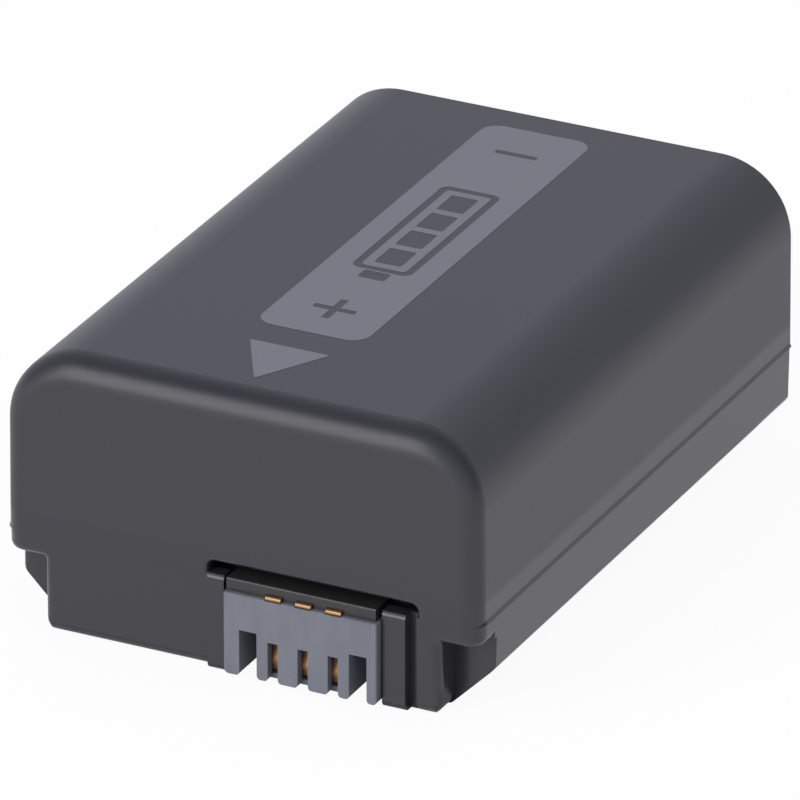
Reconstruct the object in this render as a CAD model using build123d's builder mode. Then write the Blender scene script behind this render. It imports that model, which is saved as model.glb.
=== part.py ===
from build123d import *
import math
import os

# A lithium-ion camera battery with two prismatic cells in a welded case of two moulded shells.
# X is the width, Y the length with the terminal end at -Y, and Z the thickness with the printed face up.
# The origin is at the centre of the footprint, on the plain broad face. Sizes are in millimetres.

# Outside of the pack
pack_width = 31.8
pack_length = 45.0
pack_thickness = 18.5
terminal_proud = 0.6
parting_z = 6.4

# Upper shell: large rounding along its long edges, a lip that flares out to the parting line
top_radius = 4.75
front_radius = 1.1
rear_radius = 0.25
side_draft = 0.1
lip_flare = 0.1
lip_height = 0.25
lip_root = 0.1

# Lower shell: set back a little, with 45 degree key chamfers and two notched front corners
case_step = 0.1
front_step = 0.06
lower_draft_angle = 0.7
key_chamfer = 2.9
chamfer_round = 0.9
foot_round = 0.6
notch_width = 2.7
notch_depth = 2.3
notch_height = 4.95
notch_round = 0.15
notch_edge = 0.4
notch_foot_radius = 0.9
notch_lead_radius = 0.55
lower_edge_radius = 0.95

# Walls and the lap joint between the shells
side_wall = 0.9
front_wall = 1.0
tongue_thickness = 0.4
tongue_height = 0.8
tongue_corner = 0.7
lap_clearance = 0.05

# Terminal end
terminal_x = 4.3
block_width = 10.15
block_base_z = 0.32
block_top_z = 5.7
left_gap = 0.25
right_gap = 0.1
rear_gap = 0.25
block_edge = 0.06
left_post = 1.12
right_post = 1.53
post_proud = 0.1
post_round = 0.35
post_foot_round = 0.5
groove_width = 0.7
groove_depth = 0.7
relief_height = 1.05
relief_round = 0.45
relief_edge = 0.4
flange_reach = 0.9
flange_thickness = 0.65
block_room = 1.9
seat_clearance = 0.05

# Contacts and the slots that the charger's or camera's blades enter
contact_row_x = 4.5
contact_pitch = 2.0
contact_width = 1.0
contact_thickness = 0.25
contact_depth = 0.65
contact_foot_z = 0.7
contact_bow = 0.55
contact_shoulder_z = 2.6
contact_belly_z = 1.5
contact_bend = 0.4
contact_setback = 0.05
contact_clearance = 0.05
contact_tail = 0.25
contact_tip_round = 0.1
blade_slot_width = 0.68
blade_slot_top_z = 2.95
guide_slot_width = 1.17
guide_slot_top_z = 3.38
guide_slot_depth = 2.8
guide_slot_offset = 3.65
tooth_round = 0.3
retainer_gap = 0.3
retainer_setback = 0.35
retainer_thickness = 0.83
retainer_edge = 0.12
retainer_overlap = 0.4
retainer_upstand = 1.75

# Circuit board and its parts, each placed by a share of the board's half width and a height from its middle
board_thickness = 0.8
board_edge_gap = 1.2
board_base_gap = 1.3
board_top_gap = 1.4
board_corner = 1.5
board_clearance = 0.2
rib_reach = 1.8
rib_thickness = 0.5
rib_clearance = 0.1
ic_size = (4.4, 1.0, 3.0)
mosfet_size = (3.0, 0.9, 3.0)
thermistor_size = (1.6, 0.8, 0.8)
chip_size = (1.6, 0.5, 0.8)
package_edge = 0.1
ic_place = (-0.33, 1.0)
mosfet_place = (0.33, 1.0)
thermistor_place = (-0.7, -2.5)
chip_places = [(-0.48, -2.0), (-0.29, -2.0), (0.62, -2.0), (0.8, -2.0)]

# Cells and what joins them
front_bay = 5.9
cell_side_gap = 0.12
cell_edge_radius = 3.85
cell_flat = 0.2
can_end_edge = 0.5
lid_inset = 0.8
lid_recess = 0.25
pole_radius = 1.8
pole_thickness = 0.8
gasket_radius = 2.4
gasket_thickness = 0.35
tape_thickness = 0.2
cell_tape_thickness = 0.3
tape_margin = 5.0
cushion_thickness = 0.6
cushion_margin = 4.5
insulator_thickness = 0.2
insulator_margin = 2.0
window_margin = 0.5
strap_thickness = 0.15
strap_width = 3.5
strap_bend = 0.3
weld_inset = 5.7
tab_flange = 2.0

# Places that follow from those sizes
front_y = -pack_length / 2 + terminal_proud
rear_y = pack_length / 2
body_length = rear_y - front_y
body_mid_y = (front_y + rear_y) / 2
upper_side_x = pack_width / 2 - lip_flare
upper_top_x = upper_side_x - side_draft
lower_side_x = pack_width / 2 - case_step
lower_front_y = front_y + front_step
lower_rear_y = rear_y - case_step
notch_back_y = front_y + notch_depth
notch_inner_x = pack_width / 2 - notch_width
guard_x = notch_inner_x - side_wall
guard_top_z = notch_height + side_wall

cavity_x = upper_top_x - side_wall
cavity_front_y = front_y + front_wall
cavity_rear_y = rear_y - side_wall
cavity_length = cavity_rear_y - cavity_front_y
cavity_mid_y = (cavity_front_y + cavity_rear_y) / 2
floor_z = side_wall
roof_z = pack_thickness - side_wall

block_front_y = -pack_length / 2
board_front_y = cavity_front_y + block_room
block_rear_y = board_front_y
board_rear_y = board_front_y + board_thickness
board_half = cavity_x - board_edge_gap
board_base_z = floor_z + board_base_gap
board_top_z = roof_z - board_top_gap
block_left = terminal_x - block_width / 2
block_right = terminal_x + block_width / 2
pocket_left = block_left - left_gap
pocket_right = block_right + right_gap
relief_left = pocket_left - left_post
groove_left = pocket_right + right_post
relief_right = groove_left + groove_width
relief_top_z = parting_z + relief_height + seat_clearance
retainer_top_z = block_top_z + retainer_thickness
contact_y = block_front_y + contact_depth
contact_front_y = block_front_y + contact_setback
contact_rear_y = board_rear_y + contact_tail
leg_y = contact_y + contact_bow + contact_thickness / 2
contact_x = [contact_row_x + n * contact_pitch for n in (-1, 0, 1)]

cell_front_y = cavity_front_y + front_bay
cell_rear_y = cavity_rear_y - cushion_thickness
cell_length = cell_rear_y - cell_front_y
cell_half = cavity_x - cell_side_gap
weld_offset_x = cell_half - weld_inset
cell_thickness = (roof_z - floor_z - 2 * tape_thickness - cell_tape_thickness) / 2
cell_radius = min(cell_edge_radius, (cell_thickness - cell_flat) / 2)
lower_cell_z = floor_z + tape_thickness + cell_thickness / 2
upper_cell_z = roof_z - tape_thickness - cell_thickness / 2
cell_mid_y = (cell_front_y + cell_rear_y) / 2
pole_face_y = cell_front_y - gasket_thickness - pole_thickness


def block(x_limits, y_limits, z_limits, mode=Mode.ADD):
    """Adds a rectangular block between its limits to the part being built."""
    middle = [(low + high) / 2 for low, high in (x_limits, y_limits, z_limits)]
    with Locations(tuple(middle)):
        Box(*[high - low for low, high in (x_limits, y_limits, z_limits)], mode=mode)


os.makedirs("parts", exist_ok=True)

# Room inside the case, which keeps a wall behind each notched corner
with BuildPart() as cavity:
    chamfer_inset = lower_side_x - key_chamfer - side_wall * math.sqrt(2)
    with BuildSketch(Plane.XZ.offset(-cavity_front_y)) as cavity_section:
        right = [
            (chamfer_inset + floor_z, floor_z),
            (cavity_x, cavity_x - chamfer_inset),
            (cavity_x, roof_z),
        ]
        Polygon(*right, *[(-x, z) for x, z in reversed(right)])
        fillet(cavity_section.vertices().group_by(Axis.Y)[-1], top_radius - side_wall)
    extrude(amount=-cavity_length)
    for guard in ((guard_x, pack_width), (-pack_width, -guard_x)):
        block(guard, (front_y, notch_back_y + side_wall), (0, guard_top_z), Mode.SUBTRACT)

# Lips along the upper shell's sides, which flare out to the parting line
with BuildPart() as lip:
    with BuildSketch(Plane.XY.offset(parting_z)) as lip_plan:
        with Locations((0, body_mid_y)):
            Rectangle(pack_width, body_length - lip_flare)
        fillet(lip_plan.vertices().group_by(Axis.Y)[0], front_radius)
        fillet(lip_plan.vertices().group_by(Axis.Y)[-1], rear_radius)
    extrude(amount=lip_height + lip_root, taper=math.degrees(math.atan(lip_flare / lip_height)))
    rim_x = upper_side_x - front_radius
    block((-rim_x, rim_x), (front_y, rear_y), (parting_z, pack_thickness), Mode.SUBTRACT)

# Upper shell, moulded in ABS: a drafted section run from end to end, its end edges rounded over
with BuildPart() as upper_case:
    with BuildSketch(Plane.XZ.offset(-front_y)) as upper_section:
        Polygon(
            (upper_side_x, parting_z),
            (upper_top_x, pack_thickness),
            (-upper_top_x, pack_thickness),
            (-upper_side_x, parting_z),
        )
        fillet(upper_section.vertices().group_by(Axis.Y)[-1], top_radius)
    extrude(amount=-body_length)
    fillet(upper_case.faces().sort_by(Axis.Y)[0].edges().sort_by(Axis.Z)[1:], front_radius)
    fillet(upper_case.faces().sort_by(Axis.Y)[-1].edges().sort_by(Axis.Z)[1:], rear_radius)
    with BuildSketch(Plane.XZ.offset(-front_y)) as relief:
        with Locations(((relief_left + relief_right) / 2, parting_z)):
            Rectangle(relief_right - relief_left, 2 * relief_height)
        fillet(relief.vertices(), relief_round)
    extrude(amount=-front_wall, mode=Mode.SUBTRACT)
    front_edges = upper_case.faces().sort_by(Axis.Y)[0].edges()
    fillet(front_edges.filter_by(lambda edge: parting_z < edge.center().Z < relief_top_z), relief_edge)
    add(lip.part)
    add(cavity.part, mode=Mode.SUBTRACT)
    with BuildSketch(Plane.XY.offset(parting_z)) as rebate:
        with Locations((0, cavity_mid_y)):
            reach = 2 * (tongue_thickness + lap_clearance)
            RectangleRounded(2 * cavity_x + reach, cavity_length + reach, tongue_corner)
    extrude(amount=tongue_height + lap_clearance, mode=Mode.SUBTRACT)
    rib_z = (parting_z + tongue_height + 2 * lap_clearance, roof_z - top_radius)
    rib_tip = cavity_x - rib_reach
    rib_root = cavity_x + side_wall / 2
    front_rib_y = board_front_y - rib_clearance - rib_thickness
    rear_rib_y = board_rear_y + rib_clearance
    for rib_x in ((rib_tip, rib_root), (-rib_root, -rib_tip)):
        for rib_y in (front_rib_y, rear_rib_y):
            block(rib_x, (rib_y, rib_y + rib_thickness), rib_z)
upper_case.part.label = "upper_case"
export_step(upper_case.part, "parts/upper_case.step")

# Lower shell, moulded in ABS: drafted walls, key chamfers, notched corners and the terminal pocket
with BuildPart() as lower_case:
    with BuildSketch(Plane.XY.offset(parting_z)) as lower_plan:
        with Locations((0, body_mid_y)):
            Rectangle(2 * lower_side_x, lower_rear_y - lower_front_y)
        fillet(lower_plan.vertices().group_by(Axis.Y)[0], front_radius)
    extrude(amount=parting_z, dir=(0, 0, -1), taper=lower_draft_angle)
    with BuildSketch(Plane.XZ.offset(-front_y)) as lower_section:
        right = [
            (lower_side_x, parting_z),
            (lower_side_x, key_chamfer),
            (lower_side_x - key_chamfer, 0),
        ]
        Polygon(*right, *[(-x, z) for x, z in reversed(right)])
        fillet(lower_section.vertices().group_by(Axis.Y)[1], chamfer_round)
        fillet(lower_section.vertices().group_by(Axis.Y)[0], foot_round)
    extrude(amount=-body_length, mode=Mode.INTERSECT)
    fillet(lower_case.faces().sort_by(Axis.Y)[-1].edges().sort_by(Axis.Z)[:-1], rear_radius)
    with BuildSketch(Plane.XZ.offset(-front_y)) as notch:
        with Locations((notch_inner_x, notch_height)):
            Rectangle(pack_width, 2 * notch_height, align=(Align.MIN, Align.MAX))
        fillet(notch.vertices().group_by(Axis.Y)[-1].sort_by(Axis.X)[0], notch_round)
        with Locations((notch_inner_x, notch_foot_radius)):
            Rectangle(notch_foot_radius, notch_height, align=Align.MAX)
        with Locations((notch_inner_x - notch_foot_radius, notch_foot_radius)):
            Circle(notch_foot_radius, mode=Mode.SUBTRACT)
        mirror(about=Plane.YZ)
    extrude(amount=-notch_depth, mode=Mode.SUBTRACT)
    front_face = lower_case.faces().sort_by(Axis.Y)[0]
    notched_edges = front_face.edges().filter_by(lambda edge: edge.center().Z < notch_height + seat_clearance)
    fillet(notched_edges, notch_lead_radius)
    with BuildSketch(Plane.YZ.offset(-pack_width / 2)) as lower_edge:
        draft = math.tan(math.radians(lower_draft_angle))
        edge_y = lower_front_y + (parting_z - lower_edge_radius) * draft + lower_edge_radius
        with Locations((edge_y, lower_edge_radius)):
            Rectangle(2 * lower_edge_radius, 2 * lower_edge_radius, align=Align.MAX)
            Circle(lower_edge_radius, mode=Mode.SUBTRACT)
    extrude(amount=pack_width, mode=Mode.SUBTRACT)
    with BuildSketch() as notch_corner:
        with Locations((lower_side_x - notch_edge, notch_back_y)):
            Rectangle(2 * notch_edge, notch_edge, align=Align.MIN)
        with Locations((lower_side_x - notch_edge, notch_back_y + notch_edge)):
            Circle(notch_edge, mode=Mode.SUBTRACT)
        mirror(about=Plane.YZ)
    extrude(amount=notch_height, mode=Mode.SUBTRACT)
    for post_x, post_width in ((relief_left, left_post), (pocket_right, right_post)):
        with BuildSketch(Plane.YZ.offset(post_x)) as post:
            with Locations((cavity_front_y, parting_z)):
                Rectangle(front_wall - front_step + post_proud, parting_z, align=Align.MAX)
            fillet(post.vertices().group_by(Axis.Y)[-1].sort_by(Axis.X)[0], post_round)
            fillet(post.vertices().group_by(Axis.Y)[0].sort_by(Axis.X)[0], post_foot_round)
        extrude(amount=post_width)
    with BuildSketch(Plane.XY.offset(parting_z)) as tongue:
        with Locations((0, cavity_mid_y)):
            RectangleRounded(
                2 * (cavity_x + tongue_thickness),
                cavity_length + 2 * tongue_thickness,
                tongue_corner - lap_clearance,
            )
    extrude(amount=tongue_height)
    add(cavity.part, mode=Mode.SUBTRACT)
    above = (parting_z, pack_thickness)
    tongue_gap = (relief_left - lap_clearance, relief_right + lap_clearance)
    block(tongue_gap, (front_y, cavity_front_y), above, Mode.SUBTRACT)
    right_through = (-rear_gap, pack_thickness)
    pocket_y = (block_front_y, block_rear_y + rear_gap)
    block((pocket_left, pocket_right), pocket_y, right_through, Mode.SUBTRACT)
    groove_y = (block_front_y, front_y + groove_depth)
    block((groove_left, relief_right), groove_y, right_through, Mode.SUBTRACT)
lower_case.part.label = "lower_case"
export_step(lower_case.part, "parts/lower_case.step")


# Room for one contact, seen from the side: along the block's top and down behind its slot
with BuildSketch() as contact_room:
    plate_y = (contact_front_y - contact_clearance, contact_rear_y + contact_clearance)
    with Locations((plate_y[0], block_top_z - contact_clearance)):
        Rectangle(plate_y[1] - plate_y[0], contact_thickness + 2 * contact_clearance, align=Align.MIN)
    with Locations((contact_y - contact_clearance, contact_foot_z - contact_clearance)):
        leg_room = contact_bow + contact_thickness + 2 * contact_clearance
        Rectangle(leg_room, block_top_z - contact_foot_z + contact_clearance, align=Align.MIN)

# Terminal block, moulded in grey PBT: a comb of slots, held behind the front wall and on the floor by flanges
with BuildPart() as terminal_block:
    with BuildSketch(Plane.XZ.offset(-block_front_y)) as block_outline:
        with Locations((terminal_x, block_base_z)):
            Rectangle(block_width, block_top_z - block_base_z, align=(Align.CENTER, Align.MIN))
        fillet(block_outline.vertices().group_by(Axis.Y)[0], tooth_round)
    extrude(amount=block_front_y - block_rear_y)
    chamfer(terminal_block.faces().sort_by(Axis.Y)[0].edges(), block_edge)
    flange_x = (pocket_left - flange_reach, pocket_right + flange_reach)
    flange_y = cavity_front_y + seat_clearance
    block(flange_x, (flange_y, flange_y + flange_thickness), (floor_z, block_top_z))
    base_flange_y = (flange_y, block_rear_y + rear_gap + flange_reach)
    block(flange_x, base_flange_y, (floor_z, floor_z + flange_thickness))
    slots = [(x, blade_slot_width, blade_slot_top_z, contact_depth + contact_clearance) for x in contact_x]
    for side in (-1, 1):
        slot_x = contact_row_x + side * guide_slot_offset
        slots.append((slot_x, guide_slot_width, guide_slot_top_z, guide_slot_depth))
    for x, width, top_z, depth in slots:
        with BuildSketch(Plane.XZ.offset(-block_front_y)) as slot:
            with Locations((x, 0)):
                Rectangle(width, top_z, align=(Align.CENTER, Align.MIN))
                foot_width = width + 2 * tooth_round
                Rectangle(foot_width, block_base_z + tooth_round, align=(Align.CENTER, Align.MIN))
            for edge in (-1, 1):
                with Locations((x + edge * (width / 2 + tooth_round), block_base_z + tooth_round)):
                    Circle(tooth_round, mode=Mode.SUBTRACT)
        extrude(amount=-depth, mode=Mode.SUBTRACT)
    for x in contact_x:
        channel_start = x - contact_width / 2 - contact_clearance
        with BuildSketch(Plane.YZ.offset(channel_start)):
            add(contact_room.sketch)
        extrude(amount=contact_width + 2 * contact_clearance, mode=Mode.SUBTRACT)
terminal_block.part.label = "terminal_block"
export_step(terminal_block.part, "parts/terminal_block.step")

# Contacts, stamped from copper alloy and gilt: a plate over the block with a leg that bows towards its slot
contact_names = ("positive_contact", "sense_contact", "negative_contact")
leg = [
    (leg_y, block_top_z + contact_thickness / 2),
    (leg_y, contact_shoulder_z),
    (contact_y + contact_thickness / 2, contact_belly_z),
    (leg_y - contact_bow / 2, contact_foot_z + contact_thickness / 2),
]
for name, x in zip(contact_names, contact_x):
    with BuildPart() as contact:
        with BuildSketch(Plane.YZ.offset(x - contact_width / 2)):
            with BuildLine():
                FilletPolyline(*leg, radius=contact_bend)
            trace(line_width=contact_thickness)
            with Locations((contact_front_y, block_top_z)):
                Rectangle(contact_rear_y - contact_front_y, contact_thickness, align=Align.MIN)
        extrude(amount=contact_width)
        tip_edges = contact.faces().sort_by(Axis.Y)[0].edges().filter_by(Axis.X)
        fillet(tip_edges, contact_tip_round)
    contact.part.label = name
    export_step(contact.part, f"parts/{name}.step")

# Retainer, moulded in black ABS: clamps the contacts on the block and closes the relief from inside
with BuildPart() as contact_retainer:
    bar_x = (pocket_left + retainer_gap, pocket_right - retainer_gap)
    bar_y = (block_front_y + retainer_setback, board_front_y)
    block(bar_x, bar_y, (block_top_z, retainer_top_z))
    fillet(contact_retainer.faces().sort_by(Axis.Y)[0].edges().sort_by(Axis.Z)[-1], retainer_edge)
    upstand_x = (relief_left - retainer_overlap, relief_right + retainer_overlap)
    upstand_z = (block_top_z, retainer_top_z + retainer_upstand)
    block(upstand_x, (board_front_y - flange_thickness, board_front_y), upstand_z)
    for x in contact_x:
        with BuildSketch(Plane.YZ.offset(x - contact_width / 2 - contact_clearance)):
            add(contact_room.sketch)
        extrude(amount=contact_width + 2 * contact_clearance, mode=Mode.SUBTRACT)
contact_retainer.part.label = "contact_retainer"
export_step(contact_retainer.part, "parts/contact_retainer.step")

# Circuit board, glass-epoxy: stands behind the block between the upper shell's ribs
with BuildPart() as circuit_board:
    with BuildSketch(Plane.XZ.offset(-board_front_y)) as board_outline:
        with Locations((0, board_base_z)):
            Rectangle(2 * board_half, board_top_z - board_base_z, align=(Align.CENTER, Align.MIN))
        chamfer(board_outline.vertices().group_by(Axis.Y)[-1], board_corner)
        with Locations((board_half, board_base_z), (-board_half, board_base_z)):
            cut_width = board_half - guard_x + board_clearance
            cut_height = guard_top_z + board_clearance - board_base_z
            Rectangle(2 * cut_width, 2 * cut_height, mode=Mode.SUBTRACT)
        for x in contact_x:
            with Locations((x, block_top_z + contact_thickness / 2)):
                Rectangle(
                    contact_width + 2 * contact_clearance,
                    contact_thickness + 2 * contact_clearance,
                    mode=Mode.SUBTRACT,
                )
    extrude(amount=-board_thickness)
circuit_board.part.label = "circuit_board"
export_step(circuit_board.part, "parts/circuit_board.step")


def surface_mount(name, size, places):
    """Writes chip packages of one size on the board's rear face, at shares of its half width and heights."""
    board_mid_z = (board_base_z + board_top_z) / 2
    with BuildPart() as package:
        for share, height in places:
            with Locations((share * board_half, board_rear_y, board_mid_z + height)):
                Box(*size, align=(Align.CENTER, Align.MIN, Align.CENTER))
        rear_edges = package.faces().filter_by(Axis.Y).group_by(Axis.Y)[-1].edges()
        chamfer(rear_edges, package_edge)
    package.part.label = name
    export_step(package.part, f"parts/{name}.step")


# Protection circuit on the board's rear face: controller, switch, temperature sensor and passives
surface_mount("protection_ic", ic_size, [ic_place])
surface_mount("mosfet", mosfet_size, [mosfet_place])
surface_mount("thermistor", thermistor_size, [thermistor_place])
surface_mount("chip_parts", chip_size, chip_places)


def cell(name, mid_z):
    """Writes one prismatic can: a deep-drawn aluminium shell, its lid raised inside the front rim."""
    with BuildPart() as can:
        with BuildSketch(Plane.XZ.offset(-cell_front_y)):
            with Locations((0, mid_z)):
                RectangleRounded(2 * cell_half, cell_thickness, cell_radius)
        extrude(amount=-cell_length)
        chamfer(can.faces().sort_by(Axis.Y)[-1].edges(), can_end_edge)
        with BuildSketch(Plane.XZ.offset(-cell_front_y)):
            with Locations((0, mid_z)):
                RectangleRounded(2 * cell_half, cell_thickness, cell_radius)
                inner = (2 * (cell_half - lid_inset), cell_thickness - 2 * lid_inset, cell_radius - lid_inset)
                RectangleRounded(*inner, mode=Mode.SUBTRACT)
        extrude(amount=-lid_recess, mode=Mode.SUBTRACT)
    can.part.label = name
    export_step(can.part, f"parts/{name}.step")


def round_pad(name, radius, mid_z, rear_y, thickness):
    """Writes a disc on the cell's axis, such as the pole or its gasket, standing forward of rear_y."""
    with BuildPart() as disc:
        with BuildSketch(Plane.XZ.offset(-rear_y)):
            with Locations((0, mid_z)):
                Circle(radius)
        extrude(amount=thickness)
    disc.part.label = name
    export_step(disc.part, f"parts/{name}.step")


# Cells with their negative poles, which the gaskets insulate from the lids
for level, mid_z in (("lower", lower_cell_z), ("upper", upper_cell_z)):
    cell(f"{level}_cell", mid_z)
    round_pad(f"{level}_gasket", gasket_radius, mid_z, cell_front_y, gasket_thickness)
    round_pad(f"{level}_pole", pole_radius, mid_z, cell_front_y - gasket_thickness, pole_thickness)


def strip(plane, points, width):
    """Adds a bent nickel strip to the part being built: its centre line on the plane, run out by width."""
    with BuildSketch(plane) as outline:
        with BuildLine():
            FilletPolyline(*points, radius=strap_bend)
        trace(line_width=strap_thickness)
    extrude(outline.sketch, amount=width)


# Nickel strips, spot-welded to the cans and soldered to the board
half_strap = strap_thickness / 2
lid_y = cell_front_y - half_strap
pole_y = pole_face_y - half_strap
solder_y = board_rear_y + half_strap
weld_x = weld_offset_x - strap_width / 2
with BuildPart() as series_strap:
    ear_x = -weld_offset_x - strap_width
    ear = [
        (pole_radius, pole_y),
        (ear_x, pole_y),
        (ear_x, solder_y),
        (ear_x + tab_flange, solder_y),
    ]
    strip(Plane.XY.offset(upper_cell_z - strap_width / 2), ear, strap_width)
    step_z = (lower_cell_z + upper_cell_z) / 2
    drop = [(pole_y, upper_cell_z), (pole_y, step_z), (lid_y, step_z), (lid_y, lower_cell_z - strap_width / 2)]
    strip(Plane.YZ.offset(-weld_offset_x - strap_width / 2), drop, strap_width)
series_strap.part.label = "series_strap"
export_step(series_strap.part, "parts/series_strap.step")

with BuildPart() as positive_tab:
    turn_z = upper_cell_z - strap_width / 2
    run = [
        (lid_y, upper_cell_z + strap_width / 2),
        (lid_y, turn_z),
        (solder_y, turn_z),
        (solder_y, turn_z - tab_flange),
    ]
    strip(Plane.YZ.offset(weld_x), run, strap_width)
positive_tab.part.label = "positive_tab"
export_step(positive_tab.part, "parts/positive_tab.step")

with BuildPart() as negative_tab:
    turn_z = lower_cell_z + pole_radius
    run = [
        (pole_y, lower_cell_z - pole_radius),
        (pole_y, turn_z),
        (solder_y, turn_z),
        (solder_y, turn_z + tab_flange),
    ]
    strip(Plane.YZ.offset(-strap_width / 2), run, strap_width)
negative_tab.part.label = "negative_tab"
export_step(negative_tab.part, "parts/negative_tab.step")

# End insulator, stiff paper on both lids, with holes for the poles and windows for the welds
with BuildPart() as end_insulator:
    sheet_low = lower_cell_z - cell_thickness / 2 + insulator_margin
    sheet_high = upper_cell_z + cell_thickness / 2 - insulator_margin
    with BuildSketch(Plane.XZ.offset(-cell_front_y)):
        with Locations((0, (sheet_low + sheet_high) / 2)):
            RectangleRounded(2 * (cell_half - insulator_margin), sheet_high - sheet_low, insulator_margin)
        with Locations((0, lower_cell_z), (0, upper_cell_z)):
            Circle(gasket_radius + window_margin, mode=Mode.SUBTRACT)
        window = strap_width + 2 * window_margin
        with Locations((-weld_offset_x, lower_cell_z), (weld_offset_x, upper_cell_z)):
            Rectangle(window, 2 * window, mode=Mode.SUBTRACT)
    extrude(amount=insulator_thickness)
end_insulator.part.label = "end_insulator"
export_step(end_insulator.part, "parts/end_insulator.step")

# Adhesive tapes under, between and over the cells
tape_levels = {
    "lower_tape": (floor_z, tape_thickness),
    "cell_tape": (lower_cell_z + cell_thickness / 2, cell_tape_thickness),
    "upper_tape": (roof_z - tape_thickness, tape_thickness),
}
for name, (base_z, thickness) in tape_levels.items():
    with BuildPart() as tape:
        with BuildSketch(Plane.XY.offset(base_z)):
            with Locations((0, cell_mid_y)):
                Rectangle(2 * (cell_half - tape_margin), cell_length - 2 * tape_margin)
        extrude(amount=thickness)
    tape.part.label = name
    export_step(tape.part, f"parts/{name}.step")

# Foam cushion between the cans and the rear wall
with BuildPart() as rear_cushion:
    with BuildSketch(Plane.XZ.offset(-cell_rear_y)):
        with Locations((0, (floor_z + roof_z) / 2)):
            Rectangle(2 * (cell_half - cushion_margin), roof_z - floor_z - 2 * cushion_margin)
    extrude(amount=-cushion_thickness)
rear_cushion.part.label = "rear_cushion"
export_step(rear_cushion.part, "parts/rear_cushion.step")
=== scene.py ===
import math

import bmesh
import bpy
from mathutils import Matrix, Vector


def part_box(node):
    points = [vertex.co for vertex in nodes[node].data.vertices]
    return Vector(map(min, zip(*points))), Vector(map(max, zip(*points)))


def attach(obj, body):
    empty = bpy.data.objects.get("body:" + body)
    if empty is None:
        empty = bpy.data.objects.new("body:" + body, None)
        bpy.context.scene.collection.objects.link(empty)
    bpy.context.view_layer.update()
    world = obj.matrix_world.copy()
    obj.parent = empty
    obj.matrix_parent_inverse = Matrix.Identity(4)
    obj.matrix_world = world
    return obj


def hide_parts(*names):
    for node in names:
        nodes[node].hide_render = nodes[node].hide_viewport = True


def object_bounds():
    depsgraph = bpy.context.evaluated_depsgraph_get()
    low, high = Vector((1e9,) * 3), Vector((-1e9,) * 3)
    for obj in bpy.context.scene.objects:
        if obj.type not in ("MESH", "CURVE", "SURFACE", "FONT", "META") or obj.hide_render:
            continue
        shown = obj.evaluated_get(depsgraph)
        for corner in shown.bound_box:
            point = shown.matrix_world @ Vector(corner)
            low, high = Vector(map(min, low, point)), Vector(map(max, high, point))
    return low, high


# A camera battery lies on its plain broad face, printed face up, with the terminal end towards the camera.
# The frame holds the solids in metres: X along the terminal end, Y to the rear, Z up.
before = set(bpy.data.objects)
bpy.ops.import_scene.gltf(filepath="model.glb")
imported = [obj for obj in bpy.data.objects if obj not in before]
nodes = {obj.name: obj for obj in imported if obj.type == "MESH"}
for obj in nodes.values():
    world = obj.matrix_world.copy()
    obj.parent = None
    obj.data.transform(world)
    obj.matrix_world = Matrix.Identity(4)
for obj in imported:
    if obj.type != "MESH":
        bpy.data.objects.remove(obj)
cad_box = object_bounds()
MM = 0.001


# Cells: two prismatic lithium-ion cans, deep-drawn in aluminium and closed by a welded lid.
# They fill the case behind the circuit board, one on the other.
def linear(code):
    """An sRGB hex colour as the linear RGBA that shaders take."""
    channels = [int(code[i : i + 2], 16) / 255 for i in (1, 3, 5)]
    return (*[c / 12.92 if c <= 0.04045 else ((c + 0.055) / 1.055) ** 2.4 for c in channels], 1.0)


def add_node(tree, kind, inputs, **settings):
    """Adds a node: settings are its own properties, inputs are values, or sockets to link from."""
    node = tree.nodes.new(kind)
    for name, value in settings.items():
        setattr(node, name, value)
    for name, value in inputs.items():
        if isinstance(value, bpy.types.NodeSocket):
            tree.links.new(value, node.inputs[name])
        else:
            node.inputs[name].default_value = value
    return node


def new_material(name):
    """An empty material and its node tree."""
    material = bpy.data.materials.new(name)
    material.use_nodes = True
    material.node_tree.nodes.clear()
    return material, material.node_tree


def grain_of(tree, size, stretch=(1.0, 1.0, 1.0)):
    """A noise on the piece with grains of that size, drawn out along the axes by stretch."""
    place = add_node(tree, "ShaderNodeTexCoord", {})
    scale = [1 / (size * factor) for factor in stretch]
    scaled = add_node(tree, "ShaderNodeMapping", {"Vector": place.outputs["Object"], "Scale": scale})
    noise = add_node(
        tree,
        "ShaderNodeTexNoise",
        {"Vector": scaled.outputs["Vector"], "Scale": 1.0, "Detail": 2.0, "Roughness": 0.6},
    )
    return noise.outputs["Fac"]


# Most of a noise lies between these two values.
NOISE_SPREAD = {"From Min": 0.3, "From Max": 0.7}


def satin(name, colour, roughness, grain, height=None, **sockets):
    """A material of one colour, whose roughness follows a grain, and its bump too where a height is given."""
    material, tree = new_material(name)
    pattern = grain_of(tree, *grain)
    low, high = roughness
    spread = add_node(
        tree,
        "ShaderNodeMapRange",
        {"Value": pattern, **NOISE_SPREAD, "To Min": low, "To Max": high},
    )
    if height is not None:
        bump = add_node(tree, "ShaderNodeBump", {"Height": pattern, "Distance": height})
        sockets["Normal"] = bump.outputs["Normal"]
    shader = add_node(
        tree,
        "ShaderNodeBsdfPrincipled",
        {"Base Color": linear(colour), "Roughness": spread.outputs["Result"], **sockets},
    )
    add_node(tree, "ShaderNodeOutputMaterial", {"Surface": shader.outputs["BSDF"]})
    return material


def dress(material, slot, *names):
    """Gives solids of the frame a material. The slot argument is not used."""
    for name in names:
        nodes[name].data.materials.clear()
        nodes[name].data.materials.append(material)


# Mill-finish aluminium: bright, with a soft sheen drawn out into fine lines by the die.
DRAW_LINE = (0.05 * MM, (1.0, 30.0, 1.0))
drawn_aluminium = satin("drawn_aluminium", "#c7c9cb", roughness=(0.32, 0.44), grain=DRAW_LINE, Metallic=1.0)
dress(drawn_aluminium, "can_aluminium", "lower_cell", "upper_cell")


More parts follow.
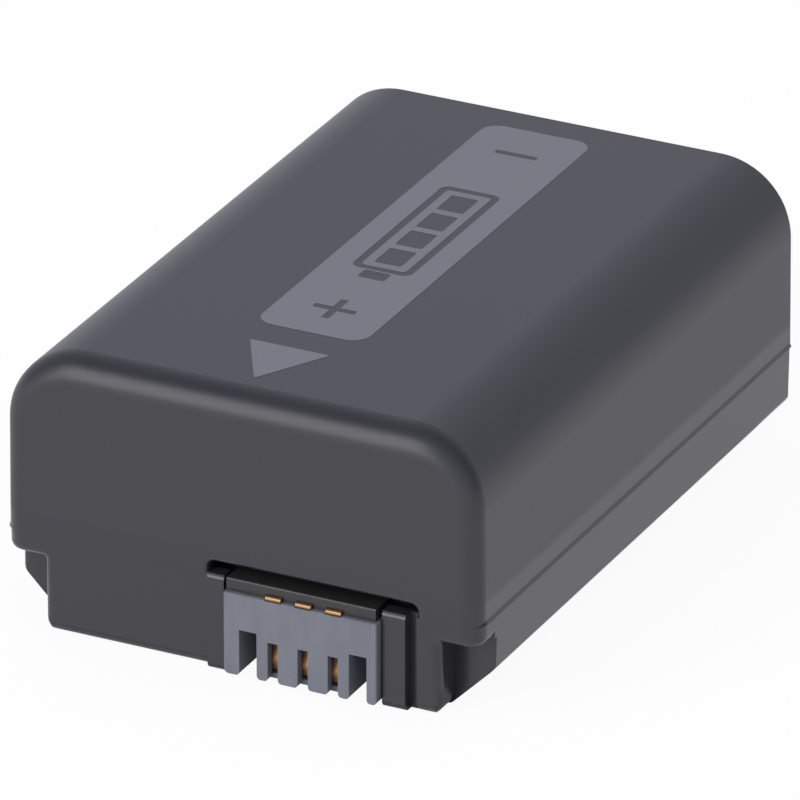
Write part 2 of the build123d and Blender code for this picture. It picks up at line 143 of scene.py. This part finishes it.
# Gaskets: polypropylene rings that keep each pole clear of its lid.
# They are moulded in the natural colour and clinched under the pole.
MILKY_GRAIN = (0.3 * MM,)
# Natural polypropylene: a milky white, waxy to the eye.
natural_polypropylene = satin(
    "natural_polypropylene", "#dcdcd6", roughness=(0.41, 0.49), grain=MILKY_GRAIN, IOR=1.49
)
dress(natural_polypropylene, "gasket_plastic", "lower_gasket", "upper_gasket")


# Poles and strips: nickel, rolled thin and spot-welded to the cans.
# The strips put the cells in series and lead to the circuit board.
ROLL_GRAIN = (0.08 * MM,)
# Rolled nickel: a bright, slightly warm metal, a little dulled by the rolls.
rolled_nickel = satin("rolled_nickel", "#b9b4a9", roughness=(0.26, 0.38), grain=ROLL_GRAIN, Metallic=1.0)
strips = ("series_strap", "positive_tab", "negative_tab")
dress(rolled_nickel, "nickel", "lower_pole", "upper_pole", *strips)


# End insulator: a stiff sheet of insulating paper over both lids.
# It is die-cut, with holes for the poles and windows for the welds.
PAPER_FIBRE = (0.2 * MM, (6.0, 1.0, 1.0))
# Insulating paper: a dull blue grey, with fibres that lie along the sheet.
fish_paper = satin("insulating_paper", "#5a7486", roughness=(0.78, 0.92), grain=PAPER_FIBRE, IOR=1.5)
dress(fish_paper, "insulating_paper", "end_insulator")


# Circuit board: glass epoxy under green solder mask, standing behind the terminal block.
# Its small parts are moulded packages, soldered to the rear face.
MASK_RIPPLE = (0.6 * MM,)
# Solder mask: a deep, shiny green, faintly rippled by the weave under it.
solder_mask = satin("green_solder_mask", "#1d5433", roughness=(0.26, 0.34), grain=MASK_RIPPLE, IOR=1.55)
dress(solder_mask, "board_epoxy", "circuit_board")

COMPOUND_GRAIN = (0.1 * MM,)
# Moulding compound: a matt black with a fine sandy grain.
moulding_compound = satin(
    "epoxy_moulding_compound", "#202020", roughness=(0.54, 0.66), grain=COMPOUND_GRAIN, IOR=1.55
)
dress(moulding_compound, "chip_epoxy", "protection_ic", "mosfet", "thermistor", "chip_parts")


# Contacts: three strips stamped from copper alloy, plated with nickel and gold.
# Each lies over the block's top and hangs down behind its slot, where a blade meets it.
WIPE_MARK = (0.06 * MM, (1.0, 1.0, 8.0))
# Gold over nickel: a warm, satin metal, with faint upright wipe marks left by the blades.
gold_plate = satin("gold_plate", "#c0976a", roughness=(0.42, 0.58), grain=WIPE_MARK, Metallic=1.0)
dress(gold_plate, "gilt", "positive_contact", "sense_contact", "negative_contact")


# Terminal block: moulded in cool grey PBT, a comb of five slots below a plain face.
# It sits in the lower shell's pocket, held by its flanges.
FLOW_STREAK = (1.1 * MM, (1.0, 1.0, 4.0))
STREAK_DARK = "#646772"
STREAK_PALE = "#6e717c"
FIBRE = 0.12 * MM
FIBRE_HEIGHT = 0.003 * MM
FIBRE_ROUGHNESS = {"To Min": 0.46, "To Max": 0.54}
# PBT with glass fibre: a satin grey, faintly streaked where it flowed up between the slots.
grey_pbt, tree = new_material("grey_pbt")
fibre = grain_of(tree, FIBRE)
flow = add_node(tree, "ShaderNodeMapRange", {"Value": grain_of(tree, *FLOW_STREAK), **NOISE_SPREAD})
streaks = add_node(
    tree,
    "ShaderNodeMix",
    {0: flow.outputs["Result"], 6: linear(STREAK_DARK), 7: linear(STREAK_PALE)},
    data_type="RGBA",
)
spread = add_node(tree, "ShaderNodeMapRange", {"Value": fibre, **NOISE_SPREAD, **FIBRE_ROUGHNESS})
bump = add_node(tree, "ShaderNodeBump", {"Height": fibre, "Distance": FIBRE_HEIGHT})
shader = add_node(
    tree,
    "ShaderNodeBsdfPrincipled",
    {
        "Base Color": streaks.outputs[2],
        "Roughness": spread.outputs["Result"],
        "IOR": 1.55,
        "Normal": bump.outputs["Normal"],
    },
)
add_node(tree, "ShaderNodeOutputMaterial", {"Surface": shader.outputs["BSDF"]})
dress(grey_pbt, "block_pbt", "terminal_block")


# Contact retainer: a bar of smooth black ABS that clamps the contacts on the block.
# Its upstand closes the upper shell's relief from inside.
ABS_IOR = 1.54
TOOL_MARK = (0.3 * MM,)
# Smooth ABS: black with a soft shine, a little uneven as it left the tool.
smooth_abs = satin("smooth_black_abs", "#2a2a2b", roughness=(0.34, 0.42), grain=TOOL_MARK, IOR=ABS_IOR)
dress(smooth_abs, "retainer_abs", "contact_retainer")


# Tapes and cushion: double-sided tape under, between and over the cells, and foam at the rear wall.
# They keep the cans from knocking inside the case.
TAPE_GRAIN = (0.4 * MM,)
# Adhesive tape: an off-white film, dull and a little uneven.
adhesive_tape = satin("adhesive_tape", "#e4e3dc", roughness=(0.64, 0.76), grain=TAPE_GRAIN, IOR=1.47)
dress(adhesive_tape, "tape", "lower_tape", "cell_tape", "upper_tape")

FOAM_CELL = (0.35 * MM,)
# Closed-cell foam: a dead black that gives back almost no shine.
closed_cell_foam = satin("closed_cell_foam", "#2b2b2b", roughness=(0.9, 1.0), grain=FOAM_CELL, IOR=1.45)
dress(closed_cell_foam, "foam", "rear_cushion")


# Lower shell: the open half of the case, with the key chamfers, the notched corners and the terminal pocket.
# It is moulded in black ABS and welded to the upper shell along the parting line.
SHELL_BLACK = "#2b2b31"
FINE_GRAIN = (0.1 * MM,)
FINE_HEIGHT = 0.001 * MM
# Finely textured ABS: a black that shines softly, so its sides mirror a little of the floor.
fine_abs = satin(
    "fine_textured_abs", SHELL_BLACK, roughness=(0.21, 0.25), grain=FINE_GRAIN, height=FINE_HEIGHT, IOR=ABS_IOR
)
dress(fine_abs, "lower_abs", "lower_case")


# Upper shell: the half of the case that carries the print, moulded in black ABS in a spark-eroded tool.
# It is a merged copy of its solid, and the top lies lower by the film of ink that is printed there.
# Its front edge is rounder than the solid's, and the relief over the terminals is lower.
TEXTURE_START = 7.5 * MM
TEXTURE_FULL = 8.0 * MM
TEXTURE_STRENGTH = 0.3
SMOOTH_ROUGHNESS = 0.23
TEXTURED_ROUGHNESS = 0.4
GRAIN = 0.14 * MM
GRAIN_HEIGHT = 0.012 * MM
# Spark-textured ABS: the even texture spreads every reflection, so the black reads as a soft dark grey.
# A strip above the parting line is as smooth as the lower shell.
textured_abs, tree = new_material("spark_textured_abs")
place = add_node(tree, "ShaderNodeTexCoord", {})
height = add_node(tree, "ShaderNodeSeparateXYZ", {"Vector": place.outputs["Object"]})
textured = add_node(
    tree,
    "ShaderNodeMapRange",
    {"Value": height.outputs["Z"], "From Min": TEXTURE_START, "From Max": TEXTURE_FULL},
)
roughness = add_node(
    tree,
    "ShaderNodeMapRange",
    {"Value": textured.outputs["Result"], "To Min": SMOOTH_ROUGHNESS, "To Max": TEXTURED_ROUGHNESS},
)
strength = add_node(
    tree,
    "ShaderNodeMath",
    {0: textured.outputs["Result"], 1: TEXTURE_STRENGTH},
    operation="MULTIPLY",
)
bump = add_node(
    tree,
    "ShaderNodeBump",
    {"Height": grain_of(tree, GRAIN), "Strength": strength.outputs["Value"], "Distance": GRAIN_HEIGHT},
)
shader = add_node(
    tree,
    "ShaderNodeBsdfPrincipled",
    {
        "Base Color": linear(SHELL_BLACK),
        "Roughness": roughness.outputs["Result"],
        "IOR": ABS_IOR,
        "Normal": bump.outputs["Normal"],
    },
)
add_node(tree, "ShaderNodeOutputMaterial", {"Surface": shader.outputs["BSDF"]})

MERGE_REACH = 0.0001 * MM
EDGE_FIT = 0.002 * MM
INK_FILM = 0.015 * MM
SOLID_EDGE = 1.1 * MM
FRONT_EDGE = 1.7 * MM
LONG_EDGE = 4.75 * MM
LIP_FLARE = 0.1 * MM
SIDE_NARROWING = 0.1 * MM
FRONT_WALL = 1.0 * MM
RELIEF_FOOT = 0.5 * MM
RELIEF_HEAD = 1.6 * MM
RELIEF_DROP = 0.3 * MM
(_, front_y, parting_z), (half_width, _, top_z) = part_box("upper_case")
side_draft = math.atan(SIDE_NARROWING / (top_z - parting_z))
long_edge_z = top_z - LONG_EDGE
side_x = half_width - LIP_FLARE - (long_edge_z - parting_z) * math.tan(side_draft)
long_edge_x = side_x - LONG_EDGE / math.cos(side_draft)
relief_left, relief_right = [corner[0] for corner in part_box("contact_retainer")]


def rounder(point):
    """A point of the solid's front edge, moved out to the larger radius. The corners keep their own."""
    x, y, z = point
    depth = y - front_y
    across = Vector((abs(x) - long_edge_x, z - long_edge_z))
    if across.x <= 0:
        outward = Vector((0, 1))
    elif across.y <= across.x * math.tan(side_draft):
        outward = Vector((math.cos(side_draft), math.sin(side_draft)))
    else:
        outward = across.normalized()
    inset = LONG_EDGE - across.dot(outward)
    misfit = abs(math.hypot(SOLID_EDGE - depth, SOLID_EDGE - inset) - SOLID_EDGE)
    if misfit > EDGE_FIT or max(depth, inset) > SOLID_EDGE + EDGE_FIT:
        return x, y, z
    growth = (FRONT_EDGE / SOLID_EDGE - 1) * outward.y**2
    sideways = math.copysign(outward.x * inset * growth, x)
    return x - sideways, y + depth * growth, z - outward.y * inset * growth


def as_moulded(point):
    """A point of the upper shell with the front edge rounder, the relief lower and the top under the ink."""
    x, y, z = rounder(point)
    over_terminals = relief_left - EDGE_FIT < x < relief_right + EDGE_FIT
    in_front_wall = y < front_y + FRONT_WALL + EDGE_FIT
    if over_terminals and in_front_wall and RELIEF_FOOT < z - parting_z < RELIEF_HEAD:
        z -= RELIEF_DROP
    if z > top_z - MERGE_REACH:
        z -= INK_FILM
    return x, y, z


def merged_copy(name, moved):
    """A copy of a solid, its loose faces merged and its points moved, shaded by the solid's own normals."""
    mesh = nodes[name].data.copy()
    normals = [tuple(corner.vector) for corner in mesh.corner_normals]
    carried = mesh.attributes.new("solid_normal", "FLOAT_VECTOR", "CORNER")
    for item, normal in zip(carried.data, normals):
        item.vector = normal
    merged = bmesh.new()
    merged.from_mesh(mesh)
    bmesh.ops.remove_doubles(merged, verts=merged.verts, dist=MERGE_REACH)
    merged.to_mesh(mesh)
    merged.free()
    for vertex in mesh.vertices:
        vertex.co = moved(vertex.co)
    carried = mesh.attributes["solid_normal"]
    mesh.normals_split_custom_set([tuple(item.vector) for item in carried.data])
    mesh.attributes.remove(mesh.attributes["solid_normal"])
    return mesh


def add_piece(name, mesh, material):
    """Links a finished mesh as a piece that rides on the pack."""
    mesh.materials.clear()
    mesh.materials.append(material)
    piece = bpy.data.objects.new(name, mesh)
    bpy.context.scene.collection.objects.link(piece)
    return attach(piece, "root")


upper_shell = add_piece("upper_shell", merged_copy("upper_case", as_moulded), textured_abs)
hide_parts("upper_case")


# Print: a long field, an arrow towards the terminal end and a plain battery sign left open in the field.
# They are pad-printed in one grey ink, a thin matt film on the texture, and drawn here in millimetres.
INK_GRAIN_HEIGHT = 0.003 * MM
# Pad-print ink: an even matt grey, through which the grain of the shell shows a little.
grey_ink = satin(
    "grey_pad_print_ink", "#72757f", roughness=(0.46, 0.54), grain=(GRAIN,), height=INK_GRAIN_HEIGHT, IOR=1.5
)

PRINT_MID_X = -0.28
FIELD_WIDTH = 7.25
FIELD_FRONT_Y = -12.1
FIELD_REAR_Y = 20.1
FIELD_CORNER = 1.2
ARROW_BASE_Y = -14.5
ARROW_TIP_Y = -19.26
ARROW_WIDTH = 5.34
ARROW_CORNER = 0.12
SIGN_LENGTH = 13.0
SIGN_WIDTH = 4.0
SIGN_LINE = 0.5
SIGN_CORNER = 0.6
SIGN_INNER_CORNER = 0.3
SIGN_BARS = 4
BAR_GAP = 0.6
BAR_CORNER = 0.15
NUB_WIDTH = 1.8
NUB_LENGTH = 1.1
NUB_GAP = 0.125
NUB_CORNER = 0.2
MARK_SIZE = 2.8
MARK_MARGIN = 2.2
MARK_CORNER = 0.1
CORNER_STEPS = 10


def rounded(points, radius):
    """A closed outline in millimetres with every corner rounded by an arc of that radius."""
    outline = []
    for before, corner, after in zip(points[-1:] + points[:-1], points, points[1:] + points[:1]):
        corner = Vector(corner)
        towards = (Vector(before) - corner).normalized()
        away = (Vector(after) - corner).normalized()
        half_angle = towards.angle(away) / 2
        middle = corner + (towards + away).normalized() * radius / math.sin(half_angle)
        first = corner + towards * radius / math.tan(half_angle) - middle
        last = corner + away * radius / math.tan(half_angle) - middle
        turn = first.angle_signed(last)
        for step in range(CORNER_STEPS + 1):
            spoke = first.copy()
            spoke.rotate(Matrix.Rotation(-turn * step / CORNER_STEPS, 2))
            outline.append(middle + spoke)
    return outline


def rectangle(mid_y, width, length, radius):
    """The outline of a rectangle on the print's middle line, with rounded corners."""
    left, right = PRINT_MID_X - width / 2, PRINT_MID_X + width / 2
    front, rear = mid_y - length / 2, mid_y + length / 2
    return rounded([(left, front), (right, front), (right, rear), (left, rear)], radius)


def cross(mid_y, size, line):
    """The outline of a plus mark on the print's middle line."""
    arm, half = line / 2, size / 2
    outline = []
    for turn in range(4):
        for corner in ((arm, half), (arm, arm), (half, arm)):
            spoke = Vector(corner)
            spoke.rotate(Matrix.Rotation(-turn * math.pi / 2, 2))
            outline.append((PRINT_MID_X + spoke.x, mid_y + spoke.y))
    return outline


def printed(name, outlines, material):
    """A film of ink within the outlines, where an outline inside another leaves it open."""
    curve = bpy.data.curves.new(name, "CURVE")
    curve.dimensions = "2D"
    curve.fill_mode = "BOTH"
    curve.extrude = INK_FILM / 2
    for outline in outlines:
        spline = curve.splines.new("POLY")
        spline.points.add(len(outline) - 1)
        spline.use_cyclic_u = True
        for point, (x, y) in zip(spline.points, outline):
            point.co = (x * MM, y * MM, 0, 1)
    drawn = bpy.data.objects.new(name, curve)
    bpy.context.scene.collection.objects.link(drawn)
    depsgraph = bpy.context.evaluated_depsgraph_get()
    film = bpy.data.meshes.new_from_object(drawn.evaluated_get(depsgraph))
    bpy.data.objects.remove(drawn)
    film.transform(Matrix.Translation((0, 0, top_z - INK_FILM / 2)))
    film.name = name
    return add_piece(name, film, material)


field_mid_y = (FIELD_FRONT_Y + FIELD_REAR_Y) / 2
inner_width = SIGN_WIDTH - 2 * SIGN_LINE
inner_length = SIGN_LENGTH - 2 * SIGN_LINE
bar_width = inner_width - 2 * BAR_GAP
bar_pitch = (inner_length - BAR_GAP) / SIGN_BARS
nub_y = field_mid_y - SIGN_LENGTH / 2 - NUB_LENGTH / 2 - NUB_GAP
plus_y = FIELD_FRONT_Y + MARK_MARGIN + MARK_SIZE / 2
minus_y = FIELD_REAR_Y - MARK_MARGIN - MARK_SIZE / 2
outlines = [
    rectangle(field_mid_y, FIELD_WIDTH, FIELD_REAR_Y - FIELD_FRONT_Y, FIELD_CORNER),
    rectangle(field_mid_y, SIGN_WIDTH, SIGN_LENGTH, SIGN_CORNER),
    rectangle(field_mid_y, inner_width, inner_length, SIGN_INNER_CORNER),
]
for bar in range(SIGN_BARS):
    bar_y = field_mid_y + (bar - (SIGN_BARS - 1) / 2) * bar_pitch
    outlines.append(rectangle(bar_y, bar_width, bar_pitch - BAR_GAP, BAR_CORNER))
outlines.append(rectangle(nub_y, NUB_WIDTH, NUB_LENGTH, NUB_CORNER))
outlines.append(cross(plus_y, MARK_SIZE, SIGN_LINE))
outlines.append(rectangle(minus_y, MARK_SIZE, SIGN_LINE, MARK_CORNER))
printed("printed_field", outlines, grey_ink)
arrow_left, arrow_right = PRINT_MID_X - ARROW_WIDTH / 2, PRINT_MID_X + ARROW_WIDTH / 2
arrow = [(arrow_left, ARROW_BASE_Y), (PRINT_MID_X, ARROW_TIP_Y), (arrow_right, ARROW_BASE_Y)]
printed("printed_arrow", [rounded(arrow, ARROW_CORNER)], grey_ink)


# Floor: a wide sheet of white studio paper, laid flat under the pack.
# It shows as plain white with a little of the pack's shadow, and in reflections its glow is cut off under the
# pack: painted shade there.
FLOOR_SIDE = 6.0
PAPER_GAP = 0.02 * MM
SHADOW_SHARE = 0.06
WHITE = "#ffffff"
MIRRORED_PAPER = "#f7f6ff"


def ray_kinds(tree):
    """Two sockets: 1 for the camera's own rays, and 1 for rays that a surface mirrors or lets through."""
    rays = add_node(tree, "ShaderNodeLightPath", {})
    mirrored = add_node(
        tree,
        "ShaderNodeMath",
        {0: rays.outputs["Is Glossy Ray"], 1: rays.outputs["Is Transmission Ray"]},
        operation="MAXIMUM",
    )
    return rays.outputs["Is Camera Ray"], mirrored.outputs["Value"]


floor_mesh = bpy.data.meshes.new("studio_paper")
half = FLOOR_SIDE / 2
corners = [(x, y, -PAPER_GAP) for x, y in ((-half, -half), (half, -half), (half, half), (-half, half))]
floor_mesh.from_pydata(corners, [], [(0, 1, 2, 3)])
floor = bpy.data.objects.new("studio_paper", floor_mesh)
bpy.context.scene.collection.objects.link(floor)
# White paper: even and without shine, apart from the painted shade under the pack in reflections.
white_paper, tree = new_material("white_paper")
place = add_node(tree, "ShaderNodeTexCoord", {})
spot = add_node(tree, "ShaderNodeSeparateXYZ", {"Vector": place.outputs["Object"]})
# The pack's footprint: there the paper's glow is cut off in reflections, a painted shade under the pack, and
# only its own lit shading shows.
beyond = []
for axis, low, high in zip("XY", *cad_box):
    distance = add_node(tree, "ShaderNodeMath", {0: spot.outputs[axis]}, operation="ABSOLUTE")
    outside = add_node(
        tree,
        "ShaderNodeMath",
        {0: distance.outputs["Value"], 1: (high - low) / 2},
        operation="GREATER_THAN",
    )
    beyond.append(outside.outputs["Value"])
clear = add_node(tree, "ShaderNodeMath", dict(enumerate(beyond)), operation="MAXIMUM")
camera_ray, mirrored_ray = ray_kinds(tree)
glow_outside_painted_shade = add_node(
    tree,
    "ShaderNodeMath",
    {0: mirrored_ray, 1: clear.outputs["Value"]},
    operation="MULTIPLY",
)
seen = add_node(
    tree,
    "ShaderNodeMath",
    {0: camera_ray, 1: glow_outside_painted_shade.outputs["Value"]},
    operation="MAXIMUM",
)
share = add_node(
    tree,
    "ShaderNodeMath",
    {0: seen.outputs["Value"], 1: 1 - SHADOW_SHARE},
    operation="MULTIPLY",
)
tint = add_node(
    tree,
    "ShaderNodeMix",
    {0: mirrored_ray, 6: linear(WHITE), 7: linear(MIRRORED_PAPER)},
    data_type="RGBA",
)
paper = add_node(tree, "ShaderNodeBsdfDiffuse", {"Color": linear(WHITE)})
glow = add_node(tree, "ShaderNodeEmission", {"Color": tint.outputs[2], "Strength": 1.0})
mixed = add_node(
    tree,
    "ShaderNodeMixShader",
    {0: share.outputs["Value"], 1: paper.outputs["BSDF"], 2: glow.outputs["Emission"]},
)
add_node(tree, "ShaderNodeOutputMaterial", {"Surface": mixed.outputs["Shader"]})
floor_mesh.materials.append(white_paper)


# Light: white backdrops behind and in front and a dimmer, cooler room overhead, as the world.
# One upright softbox stands at the front left and draws the bright line along the front edge.
FILL = "#d4d4d4"
SWEEP = "#eef1ff"
ROOM = "#6d6e87"
SWEEP_SIDE = (-0.3, 1.0, 0.06)
KEY_DIRECTION = Vector((-0.38, -0.83, 0.42))
KEY_DISTANCE = 1.0
KEY_WIDTH = 0.6
KEY_HEIGHT = 0.8
KEY_POWER = 5.5
scene = bpy.context.scene
scene.view_settings.view_transform = "Standard"
world = bpy.data.worlds.new("white_studio")
world.use_nodes = True
tree = world.node_tree
tree.nodes.clear()
scene.world = world
direction = add_node(tree, "ShaderNodeTexCoord", {})
towards = add_node(
    tree,
    "ShaderNodeVectorMath",
    {0: direction.outputs["Generated"], 1: SWEEP_SIDE},
    operation="DOT_PRODUCT",
)
sweep = add_node(tree, "ShaderNodeMath", {0: towards.outputs["Value"]}, operation="ABSOLUTE")
gradient = add_node(
    tree,
    "ShaderNodeMix",
    {0: sweep.outputs["Value"], 6: linear(ROOM), 7: linear(SWEEP)},
    data_type="RGBA",
)
camera_ray, mirrored_ray = ray_kinds(tree)
indirect = add_node(
    tree,
    "ShaderNodeMix",
    {0: mirrored_ray, 6: linear(FILL), 7: gradient.outputs[2]},
    data_type="RGBA",
)
seen = add_node(
    tree,
    "ShaderNodeMix",
    {0: camera_ray, 6: indirect.outputs[2], 7: linear(WHITE)},
    data_type="RGBA",
)
backdrop = add_node(tree, "ShaderNodeBackground", {"Color": seen.outputs[2], "Strength": 1.0})
add_node(tree, "ShaderNodeOutputWorld", {"Surface": backdrop.outputs["Background"]})
softbox = bpy.data.lights.new("softbox", "AREA")
softbox.shape = "RECTANGLE"
softbox.size = KEY_WIDTH
softbox.size_y = KEY_HEIGHT
softbox.energy = KEY_POWER
softbox_lamp = bpy.data.objects.new("softbox", softbox)
softbox_lamp.location = KEY_DIRECTION.normalized() * KEY_DISTANCE
softbox_lamp.rotation_euler = KEY_DIRECTION.to_track_quat("Z", "Y").to_euler()
scene.collection.objects.link(softbox_lamp)


# Camera: a long lens from the front right, a little above the pack, at the photograph's angle.
# The picture is 800 pixels square, and the focal length is worked out from its scale.
PICTURE_SIDE = 800
FOCAL_PIXELS = 12372.3
SENSOR = 36.0
NEAR_LIMIT = 0.01
FAR_LIMIT = 20.0
AZIMUTH = math.radians(26.209)
ELEVATION = math.radians(25.405)
DISTANCE = 752.17 * MM
AIM = Vector((0, 0, 9.25 * MM))
SIDE_STEP = -0.11 * MM
RISE = -0.323 * MM
back = Vector(
    (
        math.sin(AZIMUTH) * math.cos(ELEVATION),
        -math.cos(AZIMUTH) * math.cos(ELEVATION),
        math.sin(ELEVATION),
    )
)
right = Vector((math.cos(AZIMUTH), math.sin(AZIMUTH), 0))
up = back.cross(right)
lens = bpy.data.cameras.new("camera")
lens.sensor_width = SENSOR
lens.lens = FOCAL_PIXELS / PICTURE_SIDE * SENSOR
lens.clip_start = NEAR_LIMIT
lens.clip_end = FAR_LIMIT
camera = bpy.data.objects.new("camera", lens)
stand = AIM + back * DISTANCE + right * SIDE_STEP + up * RISE
camera.matrix_world = Matrix.Translation(stand) @ Matrix((right, up, back)).transposed().to_4x4()
scene.collection.objects.link(camera)
scene.camera = camera
